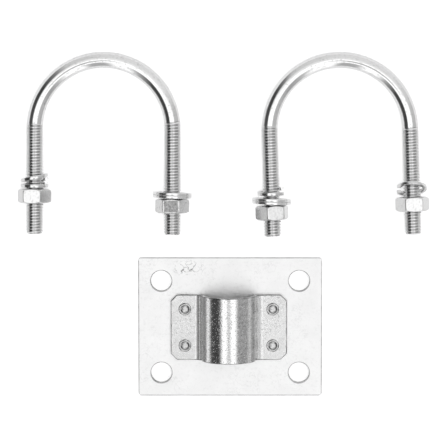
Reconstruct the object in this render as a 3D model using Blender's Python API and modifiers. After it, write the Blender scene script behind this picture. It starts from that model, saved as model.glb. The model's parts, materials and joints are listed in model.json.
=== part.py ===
"""A U-bolt clamp kit laid out on a table: a drilled mounting plate with a spot-welded pipe saddle,
and two zinc-plated M8 U-bolts with their nuts, flat washers and spring washers.

The world origin is the centre of the plate's underside. +X is the long side of the plate, +Y points
from the plate to the U-bolts and +Z is up, away from the table. Sizes below are in millimetres and
degrees; every mesh is scaled to metres as it is made.
"""

import math
from collections import namedtuple

import bmesh
import bpy
from mathutils import Matrix, Vector

MM = 0.001
TOUCHING_GAP = 0.02  # left between two pieces that rest on each other

# --- Plate and saddle ---------------------------------------------------------------------------
PLATE_SIZE = Vector((80.0, 60.7, 3.0))
PLATE_CORNER_RADIUS = 1.2
PLATE_CORNER_SEGMENTS = 5
HOLE_SPACING = (60.0, 40.4)
HOLE_DIAMETER = 9.0

SADDLE_CENTRE_X = -0.6
SADDLE_LENGTH = 28.6
SADDLE_WIDTH = 50.5
SADDLE_SHEET = 1.5
SADDLE_HUMP_HEIGHT = 14.0
SADDLE_BORE_RADIUS = 10.6
SADDLE_BEND_RADIUS = 3.0
SADDLE_CORNER_CHAMFER = 2.7

WELD_OFFSET = (19.1, 8.0)
WELD_RING_RADIUS = 2.75
WELD_BUTTON_RADIUS = 1.45
WELD_HEIGHT = 0.4
WELD_HOLE_RADIUS = 1.6

# --- U-bolt rod ---------------------------------------------------------------------------------
THREAD_PITCH = 1.25
THREAD_CREST_RADIUS = 3.9
THREAD_ROOT_RADIUS = 3.25
THREAD_SIDES = 12
THREAD_END_CHAMFER = 0.8
ROD_RADIUS = 3.55
BEND_STEPS = 24
PLAIN_GAP = 0.2

# --- Nut and washers ----------------------------------------------------------------------------
NUT_ACROSS_FLATS = 13.0
NUT_HEIGHT = 6.2
NUT_FACE_RADIUS = 6.2
NUT_CHAMFER_ANGLE = 30.0
NUT_COUNTERSINK_RADIUS = 4.35
NUT_PILOT_RADIUS = 2.8
NUT_THREAD_CLEARANCE = 0.22
NUT_THREAD_SIDES = 16

FLAT_WASHER_RADII = (4.2, 8.5)
FLAT_WASHER_THICKNESS = 1.2
SPRING_WASHER_SPLIT = 12.0
SPRING_WASHER_STEPS = 22

ROUND_SIDES = 32
SMOOTH_ANGLE = 35.0  # faces that meet at less than this are shaded as one

# A U-bolt's place on the table: the bend's centre, and how the bolt is turned. pitch lifts the leg
# ends, roll lifts the right leg and yaw swings the leg ends towards +X. A leg's length runs from its
# end to the bend, and a long thread carries on into the bend.
Leg = namedtuple("Leg", "length turns")
UBolt = namedtuple("UBolt", "name centre yaw pitch roll bend_radius left right")
UBOLTS = (
    UBolt("a", (-54.59, 86.76, 5.83), -0.2, 4.1, 1.4, 29.73, Leg(45.4, 38), Leg(45.55, 39)),
    UBolt("b", (47.29, 86.06, 5.74), 1.65, 3.71, -1.76, 30.38, Leg(44.7, 38), Leg(45.8, 37)),
)

# Hardware on a leg. side is -1 for the left leg and +1 for the right one. along is the distance from
# the leg's end to the piece's centre.
Nut = namedtuple("Nut", "name bolt side along lean")
NUTS = (
    Nut("nut_a_left", 0, -1, 16.35, 7.0),
    Nut("nut_a_right", 0, 1, 12.5, 2.5),
    Nut("nut_b_left", 1, -1, 10.2, -13.0),
    Nut("nut_b_right", 1, 1, 13.05, -2.5),
)

Flat = namedtuple("Flat", "name bolt side along right_up")
FLAT_WASHERS = (
    Flat("flat_washer_a_right_1", 0, 1, 16.55, -2.0),
    Flat("flat_washer_a_right_2", 0, 1, 17.8, -2.0),
    Flat("flat_washer_b_left_1", 1, -1, 14.5, -3.8),
    Flat("flat_washer_b_left_2", 1, -1, 15.77, -3.8),
)

# split is where the cut is, turned clockwise from the +X side as seen from the leg's end.
Spring = namedtuple("Spring", "name bolt side along right_up front_up split radii sheet rise")
SPRING_WASHERS = (
    Spring("spring_washer_a_left_1", 0, -1, 21.0, 2.0, 0.0, 0.0, (4.35, 6.05), 1.5, 1.0),
    Spring("spring_washer_a_left_2", 0, -1, 23.8, 8.0, 0.0, 0.0, (4.35, 6.05), 1.5, -1.9),
    Spring("spring_washer_b_left", 1, -1, 19.1, 4.0, 0.0, -20.0, (4.35, 6.05), 1.5, 2.3),
    Spring("spring_washer_b_right", 1, 1, 19.8, 0.0, 21.0, 180.0, (4.75, 6.6), 1.4, 1.9),
)

# --- Finishes: base colour, roughness -----------------------------------------------------------
FINISHES = {
    "rod": ((0.74, 0.75, 0.76), 0.22),
    "nut": ((0.78, 0.79, 0.80), 0.30),
    "flat_washer": ((0.80, 0.81, 0.81), 0.32),
    "spring_washer": ((0.62, 0.63, 0.65), 0.28),
    "plate": ((0.86, 0.86, 0.86), 0.48),
    "saddle": ((0.76, 0.77, 0.78), 0.26),
    "spot_weld": ((0.52, 0.53, 0.55), 0.38),
}


def clear_scene():
    for obj in list(bpy.data.objects):
        bpy.data.objects.remove(obj)


def new_collection(name):
    collection = bpy.data.collections.new(name)
    bpy.context.scene.collection.children.link(collection)
    return collection


def metal(name, finish):
    colour, roughness = FINISHES[finish]
    material = bpy.data.materials.new(name + "_zinc")
    material.use_nodes = True
    shader = material.node_tree.nodes["Principled BSDF"]
    shader.inputs["Base Color"].default_value = (*colour, 1.0)
    shader.inputs["Metallic"].default_value = 1.0
    shader.inputs["Roughness"].default_value = roughness
    material.diffuse_color = (*colour, 1.0)
    return material


def turned(axis, degrees):
    return Matrix.Rotation(math.radians(degrees), 4, axis)


def shifted(x, y, z):
    return Matrix.Translation(Vector((x, y, z)) * MM)


def add_mesh(name, bm, matrix, finish):
    """Ends bm as an object of the kit at matrix. bm is in millimetres."""
    bmesh.ops.scale(bm, vec=(MM, MM, MM), verts=bm.verts)
    bmesh.ops.remove_doubles(bm, verts=bm.verts, dist=1e-7)
    bmesh.ops.recalc_face_normals(bm, faces=bm.faces)
    mesh = bpy.data.meshes.new(name)
    bm.to_mesh(mesh)
    bm.free()
    mesh.shade_smooth()
    mesh.set_sharp_from_angle(angle=math.radians(SMOOTH_ANGLE))
    obj = bpy.data.objects.new(name, mesh)
    obj.matrix_world = matrix
    if finish is None:
        cutters.objects.link(obj)
        obj.hide_render = True
        obj.display_type = "WIRE"
    else:
        kit.objects.link(obj)
        mesh.materials.append(metal(name, finish))
    return obj


def add_cutter(name, bm, matrix):
    return add_mesh(name, bm, matrix, None)


def boolean(obj, operation, other):
    modifier = obj.modifiers.new(other.name, "BOOLEAN")
    modifier.operation = operation
    modifier.solver = "EXACT"
    modifier.object = other


# --- Mesh builders ------------------------------------------------------------------------------


def skin(bm, rows):
    """Closed bands of quads between each row of vertices and the next."""
    for low, high in zip(rows, rows[1:]):
        for i in range(len(low)):
            j = (i + 1) % len(low)
            bm.faces.new((low[i], low[j], high[j], high[i]))


def turned_form(profile, sides=ROUND_SIDES, closed=True):
    """An outline of (radius, height) points at +X, turned round the Z axis with a Screw modifier.

    The outline runs down its outer side. One that isn't closed starts and ends on the axis.
    """
    bm = bmesh.new()
    points = [bm.verts.new((radius, 0.0, height)) for radius, height in profile]
    for start, end in zip(points, points[1:] + points[:1] if closed else points[1:]):
        bm.edges.new((start, end))
    mesh = bpy.data.meshes.new("outline")
    bm.to_mesh(mesh)
    outline = bpy.data.objects.new("outline", mesh)
    cutters.objects.link(outline)
    screw = outline.modifiers.new("turned", "SCREW")
    screw.steps = screw.render_steps = sides
    screw.use_merge_vertices = True
    screw.merge_threshold = 0.0001
    screw.use_normal_calculate = True
    bm.clear()
    bm.from_mesh(evaluated_mesh(outline))
    bpy.data.objects.remove(outline)
    return bm


def evaluated_mesh(obj):
    graph = bpy.context.evaluated_depsgraph_get()
    return bpy.data.meshes.new_from_object(obj.evaluated_get(graph))


def cylinder(radius, low, high, sides=ROUND_SIDES, turn=0.0):
    bm = bmesh.new()
    place = Matrix.Translation((0.0, 0.0, (low + high) / 2)) @ turned("Z", turn)
    bmesh.ops.create_cone(
        bm, cap_ends=True, segments=sides, radius1=radius, radius2=radius, depth=high - low, matrix=place
    )
    return bm


def thread_band(bm, place, first_turn, turns, radius_at, sides):
    """A right-hand thread on a leg, as one closed band that is flat at both ends.

    place turns (angle, height, radius) into a vertex position, radius_at gives the radius at a height
    for a crest or a root. It returns the two end rings.
    """
    last = 2 * turns + 2
    rows = []
    for j in range(last + 1):
        row = []
        for i in range(sides):
            turn = min(max(j / 2 + i / sides - 1, 0), turns)
            height = (first_turn + turn) * THREAD_PITCH
            radius = radius_at(height, crest=j % 2 == 1)
            row.append(bm.verts.new(place(2 * math.pi * i / sides, height, radius)))
        rows.append(row)
    for j in range(last):
        for i in range(sides - 1):
            bm.faces.new((rows[j][i], rows[j][i + 1], rows[j + 1][i + 1], rows[j + 1][i]))
        # One time round, the thread has climbed by one pitch, which is two rows.
        low, high = rows[min(j + 2, last)][0], rows[min(j + 3, last)][0]
        if low != high:
            bm.faces.new((rows[j][-1], low, high, rows[j + 1][-1]))
        else:
            bm.faces.new((rows[j][-1], low, rows[j + 1][-1]))
    return rows[0], rows[-1]


# --- Frames -------------------------------------------------------------------------------------


def bolt_frame(bolt):
    turn = turned("Z", bolt.yaw) @ turned("Y", -bolt.roll) @ turned("X", -bolt.pitch)
    return shifted(*bolt.centre) @ turn


def leg_of(bolt, side):
    return bolt.left if side < 0 else bolt.right


def thread_length(bolt, side):
    return leg_of(bolt, side).turns * THREAD_PITCH


def leg_frame(bolt, side, along=0.0):
    """Z runs along the leg towards the bend, X is the bolt's own X and -Y faces up from the table."""
    place = shifted(side * bolt.bend_radius, along - leg_of(bolt, side).length, 0.0)
    return bolt_frame(bolt) @ place @ turned("X", -90)


def thread_frame(bolt, side):
    """Z runs with the rod: up the left leg from its end, and down the right leg from its bend."""
    up = Vector((0.0, -side, 0.0))
    normal = Vector((0.0, 0.0, 1.0))
    axes = Matrix((normal.cross(up), normal, up)).transposed().to_4x4()
    start = -leg_of(bolt, side).length
    if side > 0:
        start += thread_length(bolt, side)
    return bolt_frame(bolt) @ shifted(side * bolt.bend_radius, start, 0.0) @ axes


# --- Pieces -------------------------------------------------------------------------------------


def build_plate():
    bm = bmesh.new()
    bmesh.ops.create_cube(bm, size=1.0)
    bmesh.ops.scale(bm, vec=PLATE_SIZE, verts=bm.verts)
    bmesh.ops.translate(bm, vec=(0.0, 0.0, PLATE_SIZE.z / 2), verts=bm.verts)
    uprights = [edge for edge in bm.edges if edge.verts[0].co.xy == edge.verts[1].co.xy]
    radius, segments = PLATE_CORNER_RADIUS, PLATE_CORNER_SEGMENTS
    bmesh.ops.bevel(bm, geom=uprights, offset=radius, segments=segments, profile=0.5, affect="EDGES")
    plate = add_mesh("base_plate", bm, Matrix(), "plate")
    for i, (sx, sy) in enumerate(((-1, -1), (1, -1), (1, 1), (-1, 1)), 1):
        hole = cylinder(HOLE_DIAMETER / 2, -1.0, PLATE_SIZE.z + 1.0)
        place = shifted(sx * HOLE_SPACING[0] / 2, sy * HOLE_SPACING[1] / 2, 0.0)
        boolean(plate, "DIFFERENCE", add_cutter(f"bolt_hole_{i}", hole, place))


def saddle_path():
    """The saddle's mid-line from the middle of the hump to the right foot's end, as (x, z)."""
    half = SADDLE_SHEET / 2
    foot_z = PLATE_SIZE.z + TOUCHING_GAP + half
    hump = SADDLE_BORE_RADIUS + half
    hump_z = PLATE_SIZE.z + SADDLE_HUMP_HEIGHT - half - hump
    bend = SADDLE_BEND_RADIUS + half
    rise = foot_z + bend - hump_z
    bend_x = math.sqrt((hump + bend) ** 2 - rise**2)
    meet = math.atan2(rise, bend_x)
    path = []
    for step in range(13):
        lean = (math.pi / 2 - meet) * step / 12
        path.append((hump * math.sin(lean), hump_z + hump * math.cos(lean)))
    for step in range(1, 6):
        lean = (math.pi / 2 - meet) * (1 - step / 5)
        path.append((bend_x - bend * math.sin(lean), foot_z + bend * (1 - math.cos(lean))))
    path.append((SADDLE_WIDTH / 2, foot_z))
    return path


def build_saddle():
    """Half of the sheet's mid surface, mirrored at the top of the hump and given its thickness."""
    bm = bmesh.new()
    line = [bm.verts.new((x, -SADDLE_LENGTH / 2, z)) for x, z in saddle_path()]
    edges = [bm.edges.new(pair) for pair in zip(line, line[1:])]
    new = bmesh.ops.extrude_edge_only(bm, edges=edges)["geom"]
    far = [item for item in new if isinstance(item, bmesh.types.BMVert)]
    bmesh.ops.translate(bm, vec=(0.0, SADDLE_LENGTH, 0.0), verts=far)
    corners = [v for v in bm.verts if abs(v.co.x - SADDLE_WIDTH / 2) < 0.001]
    bmesh.ops.bevel(bm, geom=corners, offset=SADDLE_CORNER_CHAMFER, segments=1, affect="VERTICES")
    saddle = add_mesh("saddle", bm, shifted(SADDLE_CENTRE_X, 0.0, 0.0), "saddle")
    mirror = saddle.modifiers.new("other_half", "MIRROR")
    mirror.merge_threshold = 0.000001
    sheet = saddle.modifiers.new("sheet", "SOLIDIFY")
    sheet.thickness = SADDLE_SHEET * MM
    sheet.offset = 0.0
    sheet.use_even_offset = True
    for i, place in enumerate(weld_places(), 1):
        low, high = PLATE_SIZE.z - 0.5, PLATE_SIZE.z + SADDLE_SHEET + 0.5
        hole = cylinder(WELD_HOLE_RADIUS, low, high, 12)
        boolean(saddle, "DIFFERENCE", add_cutter(f"weld_hole_{i}", hole, place))


def weld_places():
    x, y = WELD_OFFSET
    for sx, sy in ((-1, -1), (1, -1), (1, 1), (-1, 1)):
        yield shifted(SADDLE_CENTRE_X + sx * x, sy * y, 0.0)


def build_spot_welds():
    low = PLATE_SIZE.z + TOUCHING_GAP
    foot = low + SADDLE_SHEET + TOUCHING_GAP
    stem = WELD_HOLE_RADIUS - 0.1
    ring, button, height = WELD_RING_RADIUS, WELD_BUTTON_RADIUS, WELD_HEIGHT
    profile = [
        (0.0, foot + height),
        (0.8 * button, foot + height),
        (button, foot + 0.2 * height),
        (ring - 0.7, foot + 0.6 * height),
        (ring - 0.1, foot + 0.6 * height),
        (ring, foot),
        (stem, foot),
        (stem, low),
        (0.0, low),
    ]
    for i, place in enumerate(weld_places(), 1):
        add_mesh(f"spot_weld_{i}", turned_form(profile, 16, closed=False), place, "spot_weld")


def leg_radius(bolt, side):
    """The thread, chamfered at the leg's free end and run out into the plain rod at the bend.

    Heights count from the free end on the left leg, and from the bend on the right one.
    """
    length = thread_length(bolt, side)

    def radius_at(height, crest):
        from_end = height if side < 0 else length - height
        radius = THREAD_CREST_RADIUS if crest else THREAD_ROOT_RADIUS
        radius = min(radius, THREAD_CREST_RADIUS - THREAD_END_CHAMFER + from_end)
        depth = min(max((length - from_end) / THREAD_PITCH, 0.0), 1.0)
        return ROD_RADIUS + (radius - ROD_RADIUS) * depth

    return radius_at


def carried_round(point, side, bend_radius):
    """A point on a straight leg, carried round the bend if it lies past the leg's top."""
    if point.y <= 0.0:
        return point
    return Matrix.Rotation(side * point.y / bend_radius, 3, "Z") @ Vector((point.x, 0.0, point.z))


def build_rod(bolt):
    bm = bmesh.new()
    inverse = bolt_frame(bolt).inverted()
    ends, reach = [], []
    for side in (-1, 1):
        frame = inverse @ thread_frame(bolt, side)

        def place(angle, height, radius, frame=frame, side=side):
            x, y = radius * math.cos(angle), radius * math.sin(angle)
            point = (frame @ (Vector((x, y, height)) * MM)) / MM
            return carried_round(point, side, bolt.bend_radius)

        turns = leg_of(bolt, side).turns
        ends.append(thread_band(bm, place, 0, turns, leg_radius(bolt, side), THREAD_SIDES))
        past = thread_length(bolt, side) - leg_of(bolt, side).length + PLAIN_GAP
        reach.append(past / bolt.bend_radius)
    rows = [ends[0][1]]
    for step in range(BEND_STEPS + 1):
        turn = reach[0] + (math.pi - reach[0] - reach[1]) * step / BEND_STEPS
        out = Vector((-math.cos(turn), math.sin(turn), 0.0))
        row = []
        for i in range(THREAD_SIDES):
            angle = 2 * math.pi * i / THREAD_SIDES
            across = out * math.cos(angle) + Vector((0.0, 0.0, math.sin(angle)))
            row.append(bm.verts.new(out * bolt.bend_radius + across * ROD_RADIUS))
        rows.append(row)
    rows.append(ends[1][0])
    skin(bm, rows)
    bm.faces.new(ends[0][0])
    bm.faces.new(ends[1][1])
    add_mesh(f"u_rod_{bolt.name}", bm, bolt_frame(bolt), "rod")


def nut_form():
    """What the nut's hexagon is turned down to: 30 degree chamfers and a countersunk pilot hole."""
    top = NUT_HEIGHT / 2
    slope = math.tan(math.radians(NUT_CHAMFER_ANGLE))
    past = NUT_ACROSS_FLATS / 2 / math.cos(math.radians(30)) + 1.0
    drop = (past - NUT_FACE_RADIUS) * slope
    sink = NUT_COUNTERSINK_RADIUS - NUT_PILOT_RADIUS
    pilot, mouth = NUT_PILOT_RADIUS, NUT_COUNTERSINK_RADIUS
    profile = [
        (pilot, top - sink),
        (mouth, top),
        (NUT_FACE_RADIUS, top),
        (past, top - drop),
        (past, drop - top),
        (NUT_FACE_RADIUS, -top),
        (mouth, -top),
        (pilot, sink - top),
    ]
    return turned_form(profile, 24)


def nut_thread(bolt, side, along):
    """A tap in mesh with the rod's own thread, longer than the nut at both ends."""
    bm = bmesh.new()
    height = along if side < 0 else thread_length(bolt, side) - along
    first = math.floor((height - NUT_HEIGHT / 2) / THREAD_PITCH) - 1
    turns = math.ceil(NUT_HEIGHT / THREAD_PITCH) + 3

    def place(angle, height, radius):
        return Vector((radius * math.cos(angle), radius * math.sin(angle), height))

    def radius_at(height, crest):
        return (THREAD_CREST_RADIUS if crest else THREAD_ROOT_RADIUS) + NUT_THREAD_CLEARANCE

    low, high = thread_band(bm, place, first, turns, radius_at, NUT_THREAD_SIDES)
    bm.faces.new(low)
    bm.faces.new(high)
    return bm


def build_nut(nut):
    bolt = UBOLTS[nut.bolt]
    corner = NUT_ACROSS_FLATS / 2 / math.cos(math.radians(30))
    hexagon = cylinder(corner, -NUT_HEIGHT / 2, NUT_HEIGHT / 2, 6, turn=30.0)
    place = leg_frame(bolt, nut.side, nut.along) @ turned("Z", -nut.lean)
    obj = add_mesh(nut.name, hexagon, place, "nut")
    boolean(obj, "INTERSECT", add_cutter(nut.name + "_form", nut_form(), place))
    tap = nut_thread(bolt, nut.side, nut.along)
    boolean(obj, "DIFFERENCE", add_cutter(nut.name + "_tap", tap, thread_frame(bolt, nut.side)))


def build_flat_washer(washer):
    inner, outer = FLAT_WASHER_RADII
    half = FLAT_WASHER_THICKNESS / 2
    profile = [(inner, half), (outer, half), (outer, -half), (inner, -half)]
    place = leg_frame(UBOLTS[washer.bolt], washer.side, washer.along)
    place = place @ turned("Y", -washer.right_up)
    add_mesh(washer.name, turned_form(profile), place, "flat_washer")


def build_spring_washer(washer):
    """A square-cut split ring, wound left-handed if its rise is positive."""
    bm = bmesh.new()
    inner, outer = washer.radii
    start = turned("Z", washer.split + SPRING_WASHER_SPLIT / 2)
    middle = start @ Matrix.Translation(((inner + outer) / 2, 0.0, washer.rise / 2))
    section = middle @ turned("X", 90) @ Matrix.Diagonal((outer - inner, washer.sheet, 1.0, 1.0))
    bmesh.ops.create_grid(bm, x_segments=1, y_segments=1, size=0.5, matrix=section)
    bmesh.ops.spin(
        bm,
        geom=bm.verts[:] + bm.edges[:] + bm.faces[:],
        axis=(0.0, 0.0, 1.0),
        dvec=(0.0, 0.0, -washer.rise / SPRING_WASHER_STEPS),
        angle=math.radians(360.0 - SPRING_WASHER_SPLIT),
        steps=SPRING_WASHER_STEPS,
    )
    place = leg_frame(UBOLTS[washer.bolt], washer.side, washer.along)
    place = place @ turned("Y", -washer.right_up) @ turned("X", -washer.front_up)
    add_mesh(washer.name, bm, place, "spring_washer")


def build_kit():
    build_plate()
    build_saddle()
    build_spot_welds()
    for bolt in UBOLTS:
        build_rod(bolt)
    for nut in NUTS:
        build_nut(nut)
    for washer in FLAT_WASHERS:
        build_flat_washer(washer)
    for washer in SPRING_WASHERS:
        build_spring_washer(washer)


clear_scene()
kit = new_collection("u_bolt_clamp_kit")
cutters = new_collection("cutters")
build_kit()
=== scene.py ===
"""The looks of the U-bolt clamp kit: fine threads, turned nuts, bright zinc plating and a white table.

Sizes are in millimetres and degrees, as in the CAD, and every mesh is scaled to metres as it is made.
"""

import json
import math
from collections import namedtuple

import bmesh
import bpy
from mathutils import Matrix, Vector

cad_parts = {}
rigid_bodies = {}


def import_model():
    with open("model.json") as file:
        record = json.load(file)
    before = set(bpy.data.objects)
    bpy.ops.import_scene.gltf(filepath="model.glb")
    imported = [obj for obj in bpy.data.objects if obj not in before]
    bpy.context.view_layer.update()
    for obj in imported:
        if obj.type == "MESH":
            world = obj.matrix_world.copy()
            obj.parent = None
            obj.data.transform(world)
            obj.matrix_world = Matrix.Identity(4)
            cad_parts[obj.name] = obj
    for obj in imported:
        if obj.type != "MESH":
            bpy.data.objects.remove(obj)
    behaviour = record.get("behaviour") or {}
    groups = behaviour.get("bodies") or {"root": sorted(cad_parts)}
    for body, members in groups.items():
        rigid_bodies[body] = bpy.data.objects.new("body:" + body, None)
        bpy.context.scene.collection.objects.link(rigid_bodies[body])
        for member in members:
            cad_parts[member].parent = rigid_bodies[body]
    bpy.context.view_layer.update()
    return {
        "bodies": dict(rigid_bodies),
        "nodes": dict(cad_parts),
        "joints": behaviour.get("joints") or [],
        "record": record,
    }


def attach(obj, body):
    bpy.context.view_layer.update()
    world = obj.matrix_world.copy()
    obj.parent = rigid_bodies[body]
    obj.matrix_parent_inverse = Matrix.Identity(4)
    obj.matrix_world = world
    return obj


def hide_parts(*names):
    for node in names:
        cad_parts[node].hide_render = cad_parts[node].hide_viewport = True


MM = 0.001
TOUCHING_GAP = 0.02  # left between two pieces that rest on each other
CORNERS = ((-1, -1), (1, -1), (1, 1), (-1, 1))  # which way the four corners lie
SHARP_ANGLE = 32.0  # faces that meet at more than this have a sharp edge between them

# --- Plate and saddle, as in the CAD --------------------------------------------------------------
PLATE_SIZE = Vector((80.0, 60.7, 3.0))
PLATE_CORNER_RADIUS = 1.2
PLATE_CORNER_STEPS = 9
PLATE_EDGE_ROUND = 0.3
HOLE_SPACING = (60.0, 40.4)
HOLE_RADIUS = 4.5
HOLE_SIDES = 72

SADDLE_CENTRE_X = -0.6
SADDLE_LENGTH = 28.6
SADDLE_WIDTH = 50.5
SADDLE_SHEET = 1.5
SADDLE_HUMP_HEIGHT = 14.0
SADDLE_BORE_RADIUS = 10.6
SADDLE_BEND_RADIUS = 3.0
SADDLE_CORNER_CHAMFER = 2.7
SADDLE_EDGE_ROUND = 0.25
SADDLE_HUMP_STEPS = 36
SADDLE_BEND_STEPS = 16
SADDLE_SHARP_ANGLE = 40.0

WELD_OFFSET = (19.1, 8.0)
WELD_HOLE_RADIUS = 1.6
WELD_HOLE_SIDES = 32
WELD_SIDES = 40
# The outline of a weld mark: a pressed ring, a groove and a domed button, as (radius, height).
WELD_OUTLINE = (
    (2.75, 0.0),
    (2.72, 0.12),
    (2.55, 0.25),
    (2.3, 0.27),
    (2.05, 0.22),
    (1.85, 0.08),
    (1.6, 0.05),
    (1.45, 0.1),
    (1.3, 0.28),
    (1.0, 0.38),
    (0.5, 0.4),
)

# --- U-bolt, nuts and washers, as in the CAD ------------------------------------------------------
THREAD_PITCH = 1.25
THREAD_CREST_RADIUS = 3.9
THREAD_ROOT_RADIUS = 3.25
THREAD_END_CHAMFER = 0.8
ROD_RADIUS = 3.55
PLAIN_GAP = 0.2
# One pitch of the rolled thread: (share of the pitch, share of the depth).
THREAD_FORM = (
    (0.0, 0.0),
    (0.1, 0.04),
    (0.19, 0.22),
    (0.31, 0.76),
    (0.36, 0.92),
    (0.42, 0.985),
    (0.5, 1.0),
    (0.58, 0.985),
    (0.64, 0.92),
    (0.69, 0.76),
    (0.81, 0.22),
    (0.9, 0.04),
)
THREAD_SIDES = 40
BEND_STEPS = 120
ROD_SHARP_ANGLE = 60.0

NUT_ACROSS_FLATS = 13.0
NUT_HEIGHT = 6.2
NUT_FACE_RADIUS = 6.2
NUT_CHAMFER_ANGLE = 30.0
NUT_CORNER_ROUND = 0.55
NUT_EDGE_ROUND = 0.12
NUT_COUNTERSINK_RADIUS = 4.35
NUT_PILOT_RADIUS = 2.8
NUT_THREAD_CLEARANCE = 0.22
NUT_THREAD_SIDES = 32
NUT_SHARP_ANGLE = 30.0
# The angles of a nut's points on either side of a corner, close together where it is rounded.
NUT_CORNER_FAN = (1.0, 1.9, 3.2, 6.0, 10.0, 14.0, 18.0, 22.0, 26.0)

FLAT_WASHER_RADII = (4.2, 8.5)
FLAT_WASHER_THICKNESS = 1.2
FLAT_WASHER_EDGE_ROUND = 0.18
FLAT_WASHER_SIDES = 96
SPRING_WASHER_SPLIT = 12.0
SPRING_WASHER_EDGE_ROUND = 0.2
SPRING_WASHER_STEPS = 90
WASHER_EDGE_STEPS = 3
WASHER_SHARP_ANGLE = 40.0

# A U-bolt's place on the table: the bend's centre, and how the bolt is turned. pitch lifts the leg
# ends, roll lifts the right leg and yaw swings the leg ends towards +X. A leg's length runs from its
# end to the bend, and a long thread carries on into the bend.
Leg = namedtuple("Leg", "length turns")
UBolt = namedtuple("UBolt", "name centre yaw pitch roll bend_radius left right")
UBOLTS = (
    UBolt("a", (-54.59, 86.76, 5.83), -0.2, 4.1, 1.4, 29.73, Leg(45.4, 38), Leg(45.55, 39)),
    UBolt("b", (47.29, 86.06, 5.74), 1.65, 3.71, -1.76, 30.38, Leg(44.7, 38), Leg(45.8, 37)),
)

# Hardware on a leg. side is -1 for the left leg and +1 for the right one. along is the distance from
# the leg's end to the piece's centre.
Nut = namedtuple("Nut", "name bolt side along lean scuffed")
NUTS = (
    Nut("a_left", 0, -1, 16.35, 7.0, False),
    Nut("a_right", 0, 1, 12.5, 2.5, True),
    Nut("b_left", 1, -1, 10.2, -13.0, False),
    Nut("b_right", 1, 1, 13.05, -2.5, False),
)

Flat = namedtuple("Flat", "name bolt side along right_up")
FLAT_WASHERS = (
    Flat("a_right_1", 0, 1, 16.55, -2.0),
    Flat("a_right_2", 0, 1, 17.8, -2.0),
    Flat("b_left_1", 1, -1, 14.5, -3.8),
    Flat("b_left_2", 1, -1, 15.77, -3.8),
)

# split is where the cut is, turned clockwise from the +X side as seen from the leg's end.
Spring = namedtuple("Spring", "name bolt side along right_up front_up split radii sheet rise")
SPRING_WASHERS = (
    Spring("a_left_1", 0, -1, 21.0, 2.0, 0.0, 0.0, (4.35, 6.05), 1.5, 1.0),
    Spring("a_left_2", 0, -1, 23.8, 8.0, 0.0, 0.0, (4.35, 6.05), 1.5, -1.9),
    Spring("b_left", 1, -1, 19.1, 4.0, 0.0, -20.0, (4.35, 6.05), 1.5, 2.3),
    Spring("b_right", 1, 1, 19.8, 0.0, 21.0, 180.0, (4.75, 6.6), 1.4, 1.9),
)

# --- Camera and light -----------------------------------------------------------------------------
VIEW_CENTRE = (-2.7, 45.16, 3.0)
CAMERA_DISTANCE = 1170.0
CAMERA_LEAN = 6.7
VIEW_WIDTH = 194.4


def turned(axis, degrees):
    return Matrix.Rotation(math.radians(degrees), 4, axis)


def shifted(x, y, z):
    return Matrix.Translation(Vector((x, y, z)) * MM)


# --- Materials ------------------------------------------------------------------------------------


class Nodes:
    """Short names for building a node tree."""

    def __init__(self, tree):
        self.tree = tree

    def add(self, kind, inputs=(), **settings):
        node = self.tree.nodes.new(kind)
        for key, value in settings.items():
            setattr(node, key, value)
        for key, value in dict(inputs).items():
            if isinstance(value, bpy.types.NodeSocket):
                self.tree.links.new(value, node.inputs[key])
            else:
                node.inputs[key].default_value = value
        return node

    def math(self, operation, a, b=0.0, clamp=False):
        node = self.add("ShaderNodeMath", {0: a, 1: b}, operation=operation)
        node.use_clamp = clamp
        return node.outputs[0]

    def xyz(self, where):
        return self.add("ShaderNodeSeparateXYZ", {0: where}).outputs

    def distance(self, x, y):
        squares = self.math("ADD", self.math("MULTIPLY", x, x), self.math("MULTIPLY", y, y))
        return self.math("SQRT", squares)

    def ramp(self, value, stops):
        """A grey that runs through the stops, as (place, brightness), while value goes from 0 to 1."""
        node = self.add("ShaderNodeValToRGB", {0: value})
        elements = node.color_ramp.elements
        while len(elements) < len(stops):
            elements.new(0.5)
        for element, (place, grey) in zip(elements, stops):
            element.position = place
            element.color = (grey, grey, grey, 1.0)
        return node.outputs[0]

    def noise(self, where, scale, detail=3.0, roughness=0.55):
        sockets = {"Vector": where, "Scale": scale, "Detail": detail, "Roughness": roughness}
        return self.add("ShaderNodeTexNoise", sockets).outputs[0]

    def blend(self, share, low, high):
        """low where share is 0 and high where it is 1, for numbers."""
        node = self.add("ShaderNodeMapRange", {"Value": share, "To Min": low, "To Max": high})
        return node.outputs[0]

    def fade(self, value, start, end):
        """1 up to start, and softly down to 0 at end. start may be the larger one."""
        sockets = {"Value": value, "From Min": start, "From Max": end, "To Min": 1.0, "To Max": 0.0}
        node = self.add("ShaderNodeMapRange", sockets, interpolation_type="SMOOTHSTEP")
        return node.outputs[0]

    def near(self, value, centre, start, end):
        """1 while value is within start of centre, and softly down to 0 at end."""
        return self.fade(self.math("ABSOLUTE", self.math("SUBTRACT", value, centre)), start, end)

    def grey(self, tone):
        return self.add("ShaderNodeCombineColor", {0: tone, 1: tone, 2: tone}).outputs[0]


# grain and speckle_size are noise scales, and grain_depth is in tenths of a millimetre. speckle is how
# dark the specks are, bloom how white the powdery oxide dots are, and matte the share of dull coating.
Finish = namedtuple("Finish", "tone roughness grain grain_depth speckle speckle_size bloom matte")
CLOUD_SCALE = 140.0
CLOUD_TONE = (0.94, 1.05)  # the cloudy patches' darkest and brightest tone, as shares of the finish's
CLOUD_ROUGHNESS = (0.75, 1.3)
SPECK_ROUGHNESS = 0.15
MATTE_ROUGHNESS = 0.3
POWDER_TONE = 0.92
# How much the thread grooves are darkened: painted shade in the recesses, and dirt.
GROOVE_SHADE_AND_DIRT = 0.25


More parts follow.
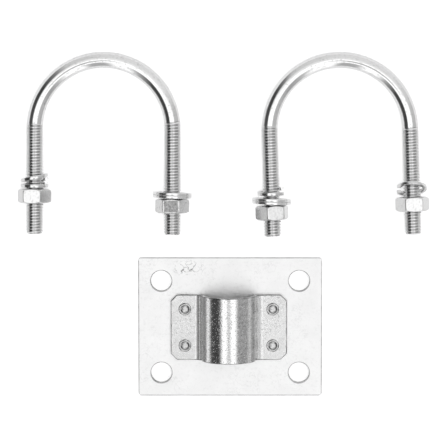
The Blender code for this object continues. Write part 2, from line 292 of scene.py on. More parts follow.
def zinc(name, finish, marks=None, dulled=None):
    """Bright zinc plating: a mirror-like metal with grain, cloudy patches and small dark specks.

    Thread grooves are darker: painted shade in the recesses, and the oil and dirt they keep. marks gives
    the places of the piece's own scuffs and painted shade, and dulled those of its dull coating, which
    is otherwise all over.
    """
    material = bpy.data.materials.new(name)
    material.use_nodes = True
    tree = material.node_tree
    shader = tree.nodes["Principled BSDF"]
    n = Nodes(tree)
    where = n.add("ShaderNodeTexCoord").outputs["Object"]
    clouds = n.noise(where, CLOUD_SCALE, 4.0)
    grain = n.noise(where, finish.grain, 2.0, 0.7)
    specks = n.noise(where, finish.speckle_size, 2.0, 0.65)
    speck = n.ramp(specks, ((0.55, 0.0), (0.68, 1.0)))
    tone = n.blend(clouds, finish.tone * CLOUD_TONE[0], min(finish.tone * CLOUD_TONE[1], 1.0))
    # Painted shade and dirt in the thread grooves: darker where the groove attribute says the thread is
    # deeper.
    groove = n.add("ShaderNodeAttribute", attribute_name="groove").outputs["Fac"]
    groove_dirt_and_shade = n.math("MULTIPLY", groove, GROOVE_SHADE_AND_DIRT)
    tone = n.math("MULTIPLY", tone, n.math("SUBTRACT", 1.0, groove_dirt_and_shade))
    rough = n.blend(clouds, *(finish.roughness * share for share in CLOUD_ROUGHNESS))
    rough = n.math("ADD", rough, n.math("MULTIPLY", speck, SPECK_ROUGHNESS), clamp=True)
    dull = dulled(n, where) if dulled else 1.0
    rough = n.math("ADD", rough, n.math("MULTIPLY", dull, finish.matte * MATTE_ROUGHNESS), clamp=True)
    dots = n.fade(n.noise(where, finish.speckle_size * 1.3, 1.0), 0.30, 0.38)
    powder = n.math("MULTIPLY", dots, finish.bloom)
    powder = n.math("MAXIMUM", powder, n.math("MULTIPLY", dull, finish.matte))
    tone = n.blend(powder, tone, POWDER_TONE)
    dark = n.math("MULTIPLY", speck, finish.speckle)
    tone = n.math("MULTIPLY", tone, n.math("SUBTRACT", 1.0, dark))
    if marks:
        tone = n.math("MULTIPLY", tone, n.math("SUBTRACT", 1.0, marks(n, where)))
    depth = finish.grain_depth * 0.1 * MM
    bump = n.add("ShaderNodeBump", {"Height": grain, "Strength": 1.0, "Distance": depth})
    tree.links.new(n.math("SUBTRACT", 1.0, powder), shader.inputs["Metallic"])
    tree.links.new(n.grey(tone), shader.inputs["Base Color"])
    tree.links.new(rough, shader.inputs["Roughness"])
    tree.links.new(bump.outputs[0], shader.inputs["Normal"])
    return material


def rim(n, distance, width):
    """1 where distance, in metres from a sheared edge inwards, is under width millimetres."""
    return n.fade(distance, width * 0.6 * MM, width * 1.2 * MM)


def plate_marks_and_edge_shade(n, where):
    """Thin wandering scratches near the far edge, and painted shade along the sheared and drilled edges,
    mixed with their dull grey.
    """
    x, y, _ = n.xyz(where)
    wide, deep = n.math("ABSOLUTE", x), n.math("ABSOLUTE", y)
    inside = n.math(
        "MINIMUM",
        n.math("SUBTRACT", PLATE_SIZE.x / 2 * MM, wide),
        n.math("SUBTRACT", PLATE_SIZE.y / 2 * MM, deep),
    )
    off_x = n.math("SUBTRACT", wide, HOLE_SPACING[0] / 2 * MM)
    off_y = n.math("SUBTRACT", deep, HOLE_SPACING[1] / 2 * MM)
    from_hole = n.math("SUBTRACT", n.distance(off_x, off_y), HOLE_RADIUS * MM)
    far_edge = n.math("GREATER_THAN", y, (PLATE_SIZE.y / 2 - 1.35) * MM)
    # Painted shade along the sheared and drilled edges, mixed with their dull wear: patchy, and weaker
    # along the far edge.
    edge_strength = n.blend(n.noise(where, 260.0, 3.0), 0.15, 0.9)
    edge_strength = n.math("MULTIPLY", edge_strength, n.blend(far_edge, 1.0, 0.5))
    edges = n.math("MULTIPLY", rim(n, n.math("MINIMUM", inside, from_hole), 0.4), edge_strength)
    scratch = n.near(n.noise(where, 330.0, 2.0, 0.5), 0.5, 0.006, 0.022)
    scuffed = n.math(
        "MULTIPLY",
        n.near(x, -18.0 * MM, 3.0 * MM, 8.0 * MM),
        n.near(y, 26.0 * MM, 1.0 * MM, 4.0 * MM),
    )
    patches = n.fade(n.noise(where, 110.0, 1.0), 0.60, 0.50)
    place = n.math("MAXIMUM", n.math("MULTIPLY", scuffed, 0.7), n.math("MULTIPLY", patches, 0.08))
    return n.math("MAXIMUM", n.math("MULTIPLY", scratch, place), edges)


def saddle_edge_and_flank_shade(n, where):
    """Painted shade along the sheared edges all round the saddle's sheet, mixed with their wear, and
    painted shade on the hump's right flank.
    """
    x, y, _ = n.xyz(where)
    wide, deep = n.math("ABSOLUTE", x), n.math("ABSOLUTE", y)
    half_x, half_y = SADDLE_WIDTH / 2 * MM, SADDLE_LENGTH / 2 * MM
    corner = half_x + half_y - SADDLE_CORNER_CHAMFER * MM
    across = n.math("MULTIPLY", n.math("SUBTRACT", corner, n.math("ADD", wide, deep)), math.sqrt(0.5))
    sides = n.math("MINIMUM", n.math("SUBTRACT", half_x, wide), n.math("SUBTRACT", half_y, deep))
    # Painted shade along the sheared edges, mixed with their wear, in broken patches.
    edge_strength = n.blend(n.noise(where, 320.0, 3.0), -0.2, 1.6)
    edges = n.math("MULTIPLY", rim(n, n.math("MINIMUM", sides, across), 0.35), edge_strength, clamp=True)
    # Painted shade on the hump's right flank, in noisy patches.
    flank = n.near(x, 7.5 * MM, 3.0 * MM, 5.0 * MM)
    flank_shade = n.math("MULTIPLY", flank, n.blend(n.noise(where, 900.0, 3.0), 0.0, 0.7))
    return n.math("MAXIMUM", edges, flank_shade)


def scuffed_facet(n, where):
    """A facet that was dragged over the bench: dull and mottled, inside a bright border."""
    x, y, z = n.xyz(where)
    across = n.near(x, 0.0, 2.8 * MM, 3.3 * MM)
    along = n.near(z, 0.0, 2.3 * MM, 2.7 * MM)
    facet = n.math("MULTIPLY", across, n.math("LESS_THAN", y, -5.0 * MM))
    mottled = n.blend(n.noise(where, 900.0, 4.0, 0.7), 0.1, 1.0)
    return n.math("MULTIPLY", n.math("MULTIPLY", facet, along), mottled)


def weld_burn_and_crease_shade(n, where):
    """Darker rings round the button and round the pressed rim: painted shade in the groove and the
    crease, with burn marks.
    """
    x, y, _ = n.xyz(where)
    wobble = n.blend(n.noise(where, 450.0, 2.0), -0.5 * MM, 0.5 * MM)
    off = n.math("ADD", n.distance(x, y), wobble)
    # Painted shade in the groove round the button and in the crease at the foot of the pressed rim, with
    # burn marks.
    groove = n.near(off, 1.7 * MM, 0.15 * MM, 0.4 * MM)
    outside = n.near(off, 2.62 * MM, 0.08 * MM, 0.3 * MM)
    burn_and_shade_strength = n.blend(n.noise(where, 600.0, 2.0), -0.3, 1.7)
    return n.math("MULTIPLY", n.math("MAXIMUM", groove, outside), burn_and_shade_strength, clamp=True)


def dull_feet(n, where):
    """The saddle's flat feet stayed rough, where the bent hump was burnished by the press."""
    return n.fade(n.xyz(where)[2], 4.7 * MM, 5.6 * MM)


FINISHES = {
    "u_rod": Finish(0.78, 0.10, 900.0, 0.10, 0.15, 900.0, 0.0, 0.0),
    "nut": Finish(0.70, 0.14, 900.0, 0.18, 0.10, 1100.0, 0.0, 0.0),
    "nut_scuffed": Finish(0.68, 0.22, 900.0, 0.8, 0.3, 1100.0, 0.0, 0.0),
    "flat_washer": Finish(0.82, 0.20, 900.0, 0.25, 0.15, 1100.0, 0.0, 0.0),
    "spring_washer": Finish(0.72, 0.12, 900.0, 0.3, 0.2, 900.0, 0.0, 0.0),
    "base_plate": Finish(0.90, 0.30, 900.0, 0.25, 0.04, 900.0, 0.1, 0.12),
    "saddle": Finish(0.82, 0.10, 2200.0, 0.5, 0.5, 1500.0, 0.85, 0.4),
    "spot_weld": Finish(0.66, 0.22, 1500.0, 3.0, 0.5, 1500.0, 0.4, 0.2),
}
MARKS = {
    "base_plate": plate_marks_and_edge_shade,
    "saddle": saddle_edge_and_flank_shade,
    "spot_weld": weld_burn_and_crease_shade,
    "nut_scuffed": scuffed_facet,
}
DULLED = {"saddle": dull_feet}


# --- Mesh builders --------------------------------------------------------------------------------


def shade(mesh, sharp_angle):
    mesh.shade_smooth()
    mesh.set_sharp_from_angle(angle=math.radians(sharp_angle))


def finished_mesh(name, bm, sharp_angle=SHARP_ANGLE):
    """A mesh in metres from bm, which is in millimetres, with smooth faces and marked sharp edges."""
    bmesh.ops.scale(bm, vec=(MM, MM, MM), verts=bm.verts)
    bmesh.ops.remove_doubles(bm, verts=bm.verts, dist=1e-8)
    bmesh.ops.recalc_face_normals(bm, faces=bm.faces)
    mesh = bpy.data.meshes.new(name)
    bm.to_mesh(mesh)
    bm.free()
    shade(mesh, sharp_angle)
    return mesh


def placed(name, mesh, matrix):
    obj = bpy.data.objects.new(name, mesh)
    bpy.context.scene.collection.objects.link(obj)
    obj.matrix_world = matrix
    return obj


def bake_modifiers(obj):
    bpy.context.view_layer.update()
    graph = bpy.context.evaluated_depsgraph_get()
    mesh = bpy.data.meshes.new_from_object(obj.evaluated_get(graph))
    obj.modifiers.clear()
    obj.data = mesh


def cut(obj, cutters, sharp_angle=SHARP_ANGLE):
    """Takes the cutter objects out of obj for good, and removes them."""
    for cutter in cutters:
        modifier = obj.modifiers.new(cutter.name, "BOOLEAN")
        modifier.operation = "DIFFERENCE"
        modifier.solver = "EXACT"
        modifier.object = cutter
    bake_modifiers(obj)
    for cutter in cutters:
        bpy.data.objects.remove(cutter)
    shade(obj.data, sharp_angle)


def round_edges(obj, width, angle):
    """Rounds the edges where faces meet at more than angle."""
    bevel = obj.modifiers.new("rounded_edges", "BEVEL")
    bevel.width = width * MM
    bevel.segments = 3
    bevel.limit_method = "ANGLE"
    bevel.angle_limit = math.radians(angle)
    bake_modifiers(obj)
    shade(obj.data, angle)


def crisp_shading(obj):
    """Large flat faces stay flat beside the small faces that round their edges."""
    modifier = obj.modifiers.new("crisp_shading", "WEIGHTED_NORMAL")
    modifier.mode = "FACE_AREA"
    modifier.keep_sharp = True
    bake_modifiers(obj)


def dress(obj, node, body, material):
    """The piece stands for the CAD node, rides on its body and takes its finish from the slot."""
    obj.data.materials.clear()
    obj.data.materials.append(material)
    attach(obj, body)
    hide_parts(node)


def skin(bm, rows):
    """Closed bands of quads between each row of vertices and the next."""
    for low, high in zip(rows, rows[1:]):
        for i in range(len(low)):
            j = (i + 1) % len(low)
            bm.faces.new((low[i], low[j], high[j], high[i]))


def ring(bm, radius_of, height_of, angles):
    row = []
    for angle in angles:
        radius, height = radius_of(angle), height_of(angle)
        row.append(bm.verts.new((radius * math.cos(angle), radius * math.sin(angle), height)))
    return row


def round_angles(sides):
    return [2 * math.pi * i / sides for i in range(sides)]


def revolved(profile, sides, capped=False):
    """An outline of (radius, height) points turned round Z, joined up or with its ends capped."""
    bm = bmesh.new()
    angles = round_angles(sides)
    rows = [ring(bm, lambda a, r=r: r, lambda a, z=z: z, angles) for r, z in profile]
    if capped:
        skin(bm, rows)
        bm.faces.new(rows[0][::-1])
        bm.faces.new(rows[-1])
    else:
        skin(bm, rows + rows[:1])
    return bm


def prism(outline, low, high):
    bm = bmesh.new()
    rows = [[bm.verts.new((x, y, z)) for x, y in outline] for z in (low, high)]
    skin(bm, rows)
    bm.faces.new(rows[0][::-1])
    bm.faces.new(rows[1])
    return bm


def cylinder_cutter(radius, low, high, sides, place):
    bm = revolved([(radius, low), (radius, high)], sides, capped=True)
    return placed("cutter", finished_mesh("cutter", bm), place)


def thread_band(bm, place, first_turn, turns, radius_at, sides):
    """A right-hand thread as one closed band that is flat at both ends. It returns the end rings."""
    groove = bm.verts.layers.float.get("groove") or bm.verts.layers.float.new("groove")
    steps = len(THREAD_FORM)
    last = steps * (turns + 1)
    rows = []
    for j in range(last + 1):
        share, depth = THREAD_FORM[j % steps]
        row = []
        for i in range(sides):
            turn = min(max(j // steps + share + i / sides - 1, 0), turns)
            height = (first_turn + turn) * THREAD_PITCH
            vert = bm.verts.new(place(2 * math.pi * i / sides, height, radius_at(height, depth)))
            vert[groove] = 1.0 - depth
            row.append(vert)
        rows.append(row)
    for j in range(last):
        for i in range(sides - 1):
            bm.faces.new((rows[j][i], rows[j][i + 1], rows[j + 1][i + 1], rows[j + 1][i]))
        # One time round, the thread has climbed by one pitch.
        low, high = rows[min(j + steps, last)][0], rows[min(j + steps + 1, last)][0]
        corners = (rows[j][-1], low, high, rows[j + 1][-1])
        bm.faces.new(corners if low != high else (rows[j][-1], low, rows[j + 1][-1]))
    return rows[0], rows[-1]


def rounded_rectangle(half_wide, half_tall, radius, steps):
    """A rectangle's outline as (across, up) points, with steps faces round each corner."""
    points = []
    for corner, (sx, sy) in enumerate(((1, 1), (-1, 1), (-1, -1), (1, -1))):
        for step in range(steps + 1):
            angle = math.radians(90 * corner + 90 * step / steps)
            x = sx * (half_wide - radius) + radius * math.cos(angle)
            y = sy * (half_tall - radius) + radius * math.sin(angle)
            points.append((x, y))
    return points


# --- Frames, as in the CAD ------------------------------------------------------------------------


def bolt_frame(bolt):
    turn = turned("Z", bolt.yaw) @ turned("Y", -bolt.roll) @ turned("X", -bolt.pitch)
    return shifted(*bolt.centre) @ turn


def leg_of(bolt, side):
    return bolt.left if side < 0 else bolt.right


def thread_length(bolt, side):
    return leg_of(bolt, side).turns * THREAD_PITCH


def leg_frame(bolt, side, along=0.0):
    """Z runs along the leg towards the bend, X is the bolt's own X and -Y faces up from the table."""
    place = shifted(side * bolt.bend_radius, along - leg_of(bolt, side).length, 0.0)
    return bolt_frame(bolt) @ place @ turned("X", -90)


def thread_frame(bolt, side):
    """Z runs with the rod: up the left leg from its end, and down the right leg from its bend."""
    up = Vector((0.0, -side, 0.0))
    normal = Vector((0.0, 0.0, 1.0))
    axes = Matrix((normal.cross(up), normal, up)).transposed().to_4x4()
    start = -leg_of(bolt, side).length
    if side > 0:
        start += thread_length(bolt, side)
    return bolt_frame(bolt) @ shifted(side * bolt.bend_radius, start, 0.0) @ axes


# --- Pieces ---------------------------------------------------------------------------------------


def build_plate(materials):
    half_x, half_y, thickness = PLATE_SIZE.x / 2, PLATE_SIZE.y / 2, PLATE_SIZE.z
    outline = rounded_rectangle(half_x, half_y, PLATE_CORNER_RADIUS, PLATE_CORNER_STEPS)
    mesh = finished_mesh("drilled_plate", prism(outline, 0.0, thickness))
    plate = placed("drilled_plate", mesh, Matrix())
    cutters = []
    for sx, sy in CORNERS:
        place = shifted(sx * HOLE_SPACING[0] / 2, sy * HOLE_SPACING[1] / 2, 0.0)
        cutters.append(cylinder_cutter(HOLE_RADIUS, -1.0, thickness + 1.0, HOLE_SIDES, place))
    cut(plate, cutters)
    round_edges(plate, PLATE_EDGE_ROUND, 50)
    crisp_shading(plate)
    dress(plate, "base_plate", "mounting_plate", materials["base_plate"])


def saddle_path():
    """The saddle's mid-line from the middle of the hump to the right foot's end, as (x, z)."""
    half = SADDLE_SHEET / 2
    foot_z = PLATE_SIZE.z + TOUCHING_GAP + half
    hump = SADDLE_BORE_RADIUS + half
    hump_z = PLATE_SIZE.z + SADDLE_HUMP_HEIGHT - half - hump
    bend = SADDLE_BEND_RADIUS + half
    rise = foot_z + bend - hump_z
    bend_x = math.sqrt((hump + bend) ** 2 - rise**2)
    meet = math.atan2(rise, bend_x)
    path = []
    for step in range(SADDLE_HUMP_STEPS + 1):
        lean = (math.pi / 2 - meet) * step / SADDLE_HUMP_STEPS
        path.append((hump * math.sin(lean), hump_z + hump * math.cos(lean)))
    for step in range(1, SADDLE_BEND_STEPS + 1):
        lean = (math.pi / 2 - meet) * (1 - step / SADDLE_BEND_STEPS)
        path.append((bend_x - bend * math.sin(lean), foot_z + bend * (1 - math.cos(lean))))
    path.append((bend_x + 0.4, foot_z))  # keeps the bend's shading off the flat foot
    path.append((SADDLE_WIDTH / 2, foot_z))
    return path


def build_saddle(materials):
    """Half of the sheet's mid surface, mirrored, given its thickness and rounded at its edges."""
    bm = bmesh.new()
    line = [bm.verts.new((x, -SADDLE_LENGTH / 2, z)) for x, z in saddle_path()]
    edges = [bm.edges.new(pair) for pair in zip(line, line[1:])]
    new = bmesh.ops.extrude_edge_only(bm, edges=edges)["geom"]
    far = [item for item in new if isinstance(item, bmesh.types.BMVert)]
    bmesh.ops.translate(bm, vec=(0.0, SADDLE_LENGTH, 0.0), verts=far)
    corners = [v for v in bm.verts if abs(v.co.x - SADDLE_WIDTH / 2) < 0.001]
    bmesh.ops.bevel(bm, geom=corners, offset=SADDLE_CORNER_CHAMFER, segments=1, affect="VERTICES")
    place = shifted(SADDLE_CENTRE_X, 0.0, 0.0)
    saddle = placed("pipe_saddle", finished_mesh("pipe_saddle", bm), place)
    mirror = saddle.modifiers.new("other_half", "MIRROR")
    mirror.merge_threshold = 0.000001
    sheet = saddle.modifiers.new("sheet", "SOLIDIFY")
    sheet.thickness = SADDLE_SHEET * MM
    sheet.offset = 0.0
    sheet.use_even_offset = True
    bake_modifiers(saddle)
    low, high = PLATE_SIZE.z - 0.5, PLATE_SIZE.z + SADDLE_SHEET + 0.5
    cutters = []
    for place in weld_places():
        cutters.append(cylinder_cutter(WELD_HOLE_RADIUS, low, high, WELD_HOLE_SIDES, place))
    cut(saddle, cutters, SADDLE_SHARP_ANGLE)
    round_edges(saddle, SADDLE_EDGE_ROUND, SADDLE_SHARP_ANGLE)
    crisp_shading(saddle)
    dress(saddle, "saddle", "mounting_plate", materials["saddle"])


def weld_places():
    x, y = WELD_OFFSET
    for sx, sy in CORNERS:
        yield shifted(SADDLE_CENTRE_X + sx * x, sy * y, 0.0)


def build_welds(materials):
    low = PLATE_SIZE.z + TOUCHING_GAP
    foot = low + SADDLE_SHEET + TOUCHING_GAP
    stem = WELD_HOLE_RADIUS - 0.1
    profile = [(stem, low), (stem, foot)] + [(r, foot + z) for r, z in WELD_OUTLINE]
    for i, place in enumerate(weld_places(), 1):
        name = f"weld_mark_{i}"
        bm = revolved(profile, WELD_SIDES, capped=True)
        mark = placed(name, finished_mesh(name, bm, sharp_angle=50.0), place)
        dress(mark, f"spot_weld_{i}", "mounting_plate", materials["spot_weld"])


def leg_radius(bolt, side):
    """The thread's radius, chamfered at the leg's end and run out into the plain rod at the bend."""
    length = thread_length(bolt, side)

    def radius_at(height, depth):
        from_end = height if side < 0 else length - height
        radius = THREAD_ROOT_RADIUS + (THREAD_CREST_RADIUS - THREAD_ROOT_RADIUS) * depth
        radius = min(radius, THREAD_CREST_RADIUS - THREAD_END_CHAMFER + from_end)
        inner = min(max((length - from_end) / THREAD_PITCH, 0.0), 1.0)
        return ROD_RADIUS + (radius - ROD_RADIUS) * inner

    return radius_at


def carried_round(point, side, bend_radius):
    """A point on a straight leg, carried round the bend if it lies past the leg's top."""
    if point.y <= 0.0:
        return point
    return Matrix.Rotation(side * point.y / bend_radius, 3, "Z") @ Vector((point.x, 0.0, point.z))


def build_rod(bolt, materials):
    bm = bmesh.new()
    inverse = bolt_frame(bolt).inverted()
    ends, reach = [], []
    for side in (-1, 1):
        frame = inverse @ thread_frame(bolt, side)

        def place(angle, height, radius, frame=frame, side=side):
            x, y = radius * math.cos(angle), radius * math.sin(angle)
            point = (frame @ (Vector((x, y, height)) * MM)) / MM
            return carried_round(point, side, bolt.bend_radius)

        turns = leg_of(bolt, side).turns
        ends.append(thread_band(bm, place, 0, turns, leg_radius(bolt, side), THREAD_SIDES))
        past = thread_length(bolt, side) - leg_of(bolt, side).length + PLAIN_GAP
        reach.append(past / bolt.bend_radius)
    rows = [ends[0][1]]
    for step in range(BEND_STEPS + 1):
        turn = reach[0] + (math.pi - reach[0] - reach[1]) * step / BEND_STEPS
        out = Vector((-math.cos(turn), math.sin(turn), 0.0))
        row = []
        for angle in round_angles(THREAD_SIDES):
            across = out * math.cos(angle) + Vector((0.0, 0.0, math.sin(angle)))
            row.append(bm.verts.new(out * bolt.bend_radius + across * ROD_RADIUS))
        rows.append(row)
    rows.append(ends[1][0])
    skin(bm, rows)
    bm.faces.new(ends[0][0])
    bm.faces.new(ends[1][1])
    name = f"threaded_rod_{bolt.name}"
    rod = placed(name, finished_mesh(name, bm, ROD_SHARP_ANGLE), bolt_frame(bolt))
    dress(rod, f"u_rod_{bolt.name}", f"u_bolt_{bolt.name}", materials["u_rod"])


def hexagon_radius(angle):
    """The distance from the nut's axis to its side, with rounded corners, at an angle from a corner."""
    inner = NUT_ACROSS_FLATS / 2
    third = math.radians(60)
    off = abs((angle + third / 2) % third - third / 2)
    r = NUT_CORNER_ROUND
    centre = (inner - r) / math.cos(math.radians(30))
    tangent = math.atan2(r * 0.5, centre + r * math.cos(math.radians(30)))
    if off < tangent:
        return centre * math.cos(off) + math.sqrt(r**2 - (centre * math.sin(off)) ** 2)
    return inner / math.cos(math.radians(30) - off)


def nut_angles():
    """Angles round the nut, from 30 degrees before each corner to 30 degrees after it."""
    fan = [-off for off in reversed(NUT_CORNER_FAN)] + [0.0] + list(NUT_CORNER_FAN) + [30.0]
    return [math.radians(60 * corner + off) for corner in range(6) for off in fan]


def nut_mesh(name):
    """Rows from the middle of the bore, over one face and down the side to the middle of the nut."""
    slope = math.tan(math.radians(NUT_CHAMFER_ANGLE))
    top = NUT_HEIGHT / 2
    soft = NUT_EDGE_ROUND
    sink = NUT_COUNTERSINK_RADIUS - NUT_PILOT_RADIUS

    def chamfer_height(radius):
        return top - max(radius - NUT_FACE_RADIUS, 0.0) * slope

    def circle(radius, height):
        return lambda a: radius, lambda a: height

    def edge(angle):
        return chamfer_height(hexagon_radius(angle))

    def under_edge(angle):
        return chamfer_height(hexagon_radius(angle) - soft * 1.2)

    # Each row is its radius and its height, as functions of the angle.
    half = [
        circle(NUT_PILOT_RADIUS, top - sink),
        circle(NUT_COUNTERSINK_RADIUS, top),
        circle(NUT_COUNTERSINK_RADIUS + soft, top),
        circle(NUT_FACE_RADIUS - soft, top),
        circle(NUT_FACE_RADIUS + soft, chamfer_height(NUT_FACE_RADIUS + soft)),
        (lambda a: hexagon_radius(a) - soft * 1.2, under_edge),
        (lambda a: hexagon_radius(a) - soft * 0.3, lambda a: edge(a) - soft * 0.25),
        (hexagon_radius, lambda a: edge(a) - soft * 1.2),
        (hexagon_radius, lambda a: 0.5 * edge(a)),
    ]
    bm = bmesh.new()
    angles = nut_angles()
    upper = [ring(bm, r, z, angles) for r, z in half]
    lower = [ring(bm, r, lambda a, z=z: -z(a), angles) for r, z in half]
    rows = upper + lower[::-1]
    skin(bm, rows + rows[:1])
    return finished_mesh(name, bm, NUT_SHARP_ANGLE)


def nut_tap(bolt, side, along):
    """A length of thread in step with the leg's own, to cut the nut's thread with."""
    bm = bmesh.new()
    height = along if side < 0 else thread_length(bolt, side) - along
    first = math.floor((height - NUT_HEIGHT / 2) / THREAD_PITCH) - 1
    turns = math.ceil(NUT_HEIGHT / THREAD_PITCH) + 3

    def place(angle, height, radius):
        return Vector((radius * math.cos(angle), radius * math.sin(angle), height))

    def radius_at(height, depth):
        radius = THREAD_ROOT_RADIUS + (THREAD_CREST_RADIUS - THREAD_ROOT_RADIUS) * depth
        return radius + NUT_THREAD_CLEARANCE

    low, high = thread_band(bm, place, first, turns, radius_at, NUT_THREAD_SIDES)
    bm.faces.new(low)
    bm.faces.new(high)
    return placed("tap", finished_mesh("tap", bm), thread_frame(bolt, side))


def build_nut(nut, materials):
    bolt = UBOLTS[nut.bolt]
    name = f"hex_nut_{nut.name}"
    place = leg_frame(bolt, nut.side, nut.along) @ turned("Z", -nut.lean)
    obj = placed(name, nut_mesh(name), place)
    cut(obj, [nut_tap(bolt, nut.side, nut.along)], NUT_SHARP_ANGLE)
    crisp_shading(obj)
    finish = "nut_scuffed" if nut.scuffed else "nut"
    dress(obj, f"nut_{nut.name}", f"nut_{nut.name}", materials[finish])


def build_flat_washer(washer, materials):
    inner, outer = FLAT_WASHER_RADII
    middle, wide = (inner + outer) / 2, (outer - inner) / 2
    half, r = FLAT_WASHER_THICKNESS / 2, FLAT_WASHER_EDGE_ROUND
    section = rounded_rectangle(wide, half, r, WASHER_EDGE_STEPS)
    bm = revolved([(middle + across, up) for across, up in section], FLAT_WASHER_SIDES)
    place = leg_frame(UBOLTS[washer.bolt], washer.side, washer.along)
    place = place @ turned("Y", -washer.right_up)
    name = f"plain_washer_{washer.name}"
    obj = placed(name, finished_mesh(name, bm, WASHER_SHARP_ANGLE), place)
    node = f"flat_washer_{washer.name}"
    dress(obj, node, node, materials["flat_washer"])


def build_spring_washer(washer, materials):
    """A square-cut split ring, wound left-handed if its rise is positive."""
    bm = bmesh.new()
    inner, outer = washer.radii
    middle, wide = (inner + outer) / 2, (outer - inner) / 2
    half, r = washer.sheet / 2, SPRING_WASHER_EDGE_ROUND
    section = rounded_rectangle(wide, half, r, WASHER_EDGE_STEPS)
    rows = []
    for step in range(SPRING_WASHER_STEPS + 1):
        share = step / SPRING_WASHER_STEPS
        turn = SPRING_WASHER_SPLIT / 2 + (360.0 - SPRING_WASHER_SPLIT) * share
        angle = math.radians(washer.split + turn)
        rise = washer.rise * (0.5 - share)
        row = []
        for across, up in section:
            radius = middle + across
            row.append(bm.verts.new((radius * math.cos(angle), radius * math.sin(angle), rise + up)))
        rows.append(row)
    skin(bm, rows)
    bm.faces.new(rows[0][::-1])
    bm.faces.new(rows[-1])
    place = leg_frame(UBOLTS[washer.bolt], washer.side, washer.along)
    place = place @ turned("Y", -washer.right_up) @ turned("X", -washer.front_up)
    name = f"split_washer_{washer.name}"
    obj = placed(name, finished_mesh(name, bm, WASHER_SHARP_ANGLE), place)
    node = f"spring_washer_{washer.name}"
    dress(obj, node, node, materials["spring_washer"])


def build_kit():
    materials = {}
    for name, finish in FINISHES.items():
        materials[name] = zinc(f"zinc_{name}", finish, MARKS.get(name), DULLED.get(name))
    build_plate(materials)
    build_saddle(materials)
    build_welds(materials)
    for bolt in UBOLTS:
        build_rod(bolt, materials)
    for nut in NUTS:
        build_nut(nut, materials)
    for washer in FLAT_WASHERS:
        build_flat_washer(washer, materials)
    for washer in SPRING_WASHERS:
        build_spring_washer(washer, materials)
    # The CAD nodes are hidden now, and carry zinc too for anyone who shows them.
    for node in frame["nodes"].values():
        node.data.materials.clear()
        node.data.materials.append(materials["base_plate"])


# --- Studio ---------------------------------------------------------------------------------------

# How bright the studio's walls are, by compass angle from +X, as (degrees, brightness): a dim wall
# past -X, two tall windows past -Y with somebody between them, and pale walls elsewhere.
WALLS = (
    (-180, 0.06),
    (-143, 0.07),
    (-128, 0.48),
    (-119, 1.35),
    (-107, 1.35),
    (-98, 0.50),
    (-84, 0.50),
    (-77, 1.35),
    (-60, 1.35),
    (-50, 0.62),
    (-38, 0.42),
    (-24, 0.55),
    (0, 0.58),
    (16, 0.64),
    (40, 0.90),
    (90, 0.85),
    (124, 0.72),
    (134, 0.22),
    (146, 0.06),
    (180, 0.10),
)
CEILING_EDGE = (27.0, 38.0)  # degrees from straight up, where the ceiling ends
CEILING_BRIGHTNESS = (1.0, 1.45)  # past +Y and past -Y
CEILING_FALL = (0.05, 0.3)
HORIZON_EDGE = (79.0, 90.0)
HORIZON_BRIGHTNESS = 0.9
# Somebody leaning over the table: a soft dim patch just short of straight up.
PATCH_WAY = (0.0, -0.17, 0.985)
PATCH_RADIUS = (5.0, 11.0)
PATCH_BRIGHTNESS = 0.42
BACKDROP_BRIGHTNESS = 1.0
FLOOR_GLOW = (0.28, 0.6)  # as it lights the pieces, and as it is seen
TABLE_SIZE = 1500.0


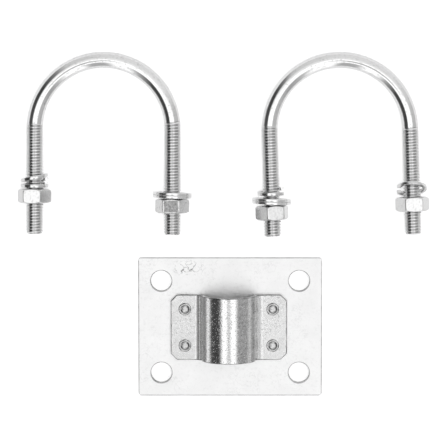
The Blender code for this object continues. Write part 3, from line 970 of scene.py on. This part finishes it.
def build_world():
    world = bpy.data.worlds.new("studio")
    bpy.context.scene.world = world
    world.use_nodes = True
    tree = world.node_tree
    n = Nodes(tree)
    way = n.add("ShaderNodeTexCoord").outputs["Generated"]
    x, y, z = n.xyz(way)
    share = n.math("MULTIPLY_ADD", n.math("ARCTAN2", y, x), 0.5 / math.pi)
    share.node.inputs[2].default_value = 0.5
    bright = n.ramp(share, [((degrees + 180) / 360, value) for degrees, value in WALLS])
    polar = n.math("ARCCOSINE", z)
    horizon = n.fade(polar, *map(math.radians, reversed(HORIZON_EDGE)))
    bright = n.math("MAXIMUM", bright, n.math("MULTIPLY", horizon, HORIZON_BRIGHTNESS))
    ceiling = n.fade(polar, *map(math.radians, CEILING_EDGE))
    near_half = n.fade(y, *CEILING_FALL)
    bright = n.blend(ceiling, bright, n.blend(near_half, *CEILING_BRIGHTNESS))
    facing = n.add("ShaderNodeVectorMath", {0: way, 1: PATCH_WAY}, operation="DOT_PRODUCT")
    patch = n.fade(n.math("ARCCOSINE", facing.outputs[1]), *map(math.radians, PATCH_RADIUS))
    bright = n.blend(patch, bright, PATCH_BRIGHTNESS)
    seen = n.add("ShaderNodeLightPath").outputs["Is Camera Ray"]
    bright = n.blend(seen, bright, BACKDROP_BRIGHTNESS)
    tree.links.new(bright, tree.nodes["Background"].inputs["Color"])


def build_floor():
    material = bpy.data.materials.new("white_table")
    material.use_nodes = True
    tree = material.node_tree
    shader = tree.nodes["Principled BSDF"]
    n = Nodes(tree)
    where = n.add("ShaderNodeTexCoord").outputs["Object"]
    tone = n.blend(n.noise(where, 30.0), 0.88, 0.90)
    tree.links.new(n.grey(tone), shader.inputs["Base Color"])
    shader.inputs["Roughness"].default_value = 0.9
    shader.inputs["Specular IOR Level"].default_value = 0.1
    shader.inputs["Emission Color"].default_value = (1.0, 1.0, 1.0, 1.0)
    seen = n.add("ShaderNodeLightPath").outputs["Is Camera Ray"]
    tree.links.new(n.blend(seen, *FLOOR_GLOW), shader.inputs["Emission Strength"])
    bm = bmesh.new()
    bmesh.ops.create_grid(bm, x_segments=1, y_segments=1, size=TABLE_SIZE)
    floor = placed("table", finished_mesh("table", bm), shifted(0.0, 0.0, -TOUCHING_GAP))
    floor.data.materials.append(material)


def build_camera():
    """Nearly straight above the table, leaning a little from the plate towards the U-bolts."""
    camera = bpy.data.cameras.new("camera")
    camera.sensor_fit = "HORIZONTAL"
    camera.angle = 2 * math.atan(VIEW_WIDTH / 2 / CAMERA_DISTANCE)
    camera.clip_start, camera.clip_end = 0.05, 10.0
    obj = bpy.data.objects.new("camera", camera)
    bpy.context.scene.collection.objects.link(obj)
    lean = turned("X", -CAMERA_LEAN)
    obj.matrix_world = shifted(*VIEW_CENTRE) @ lean @ shifted(0.0, 0.0, CAMERA_DISTANCE)
    bpy.context.scene.camera = obj


def clear_scene():
    for obj in list(bpy.data.objects):
        bpy.data.objects.remove(obj)


clear_scene()
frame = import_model()
build_kit()
build_world()
build_floor()
build_camera()
bpy.context.scene.view_settings.view_transform = "Standard"
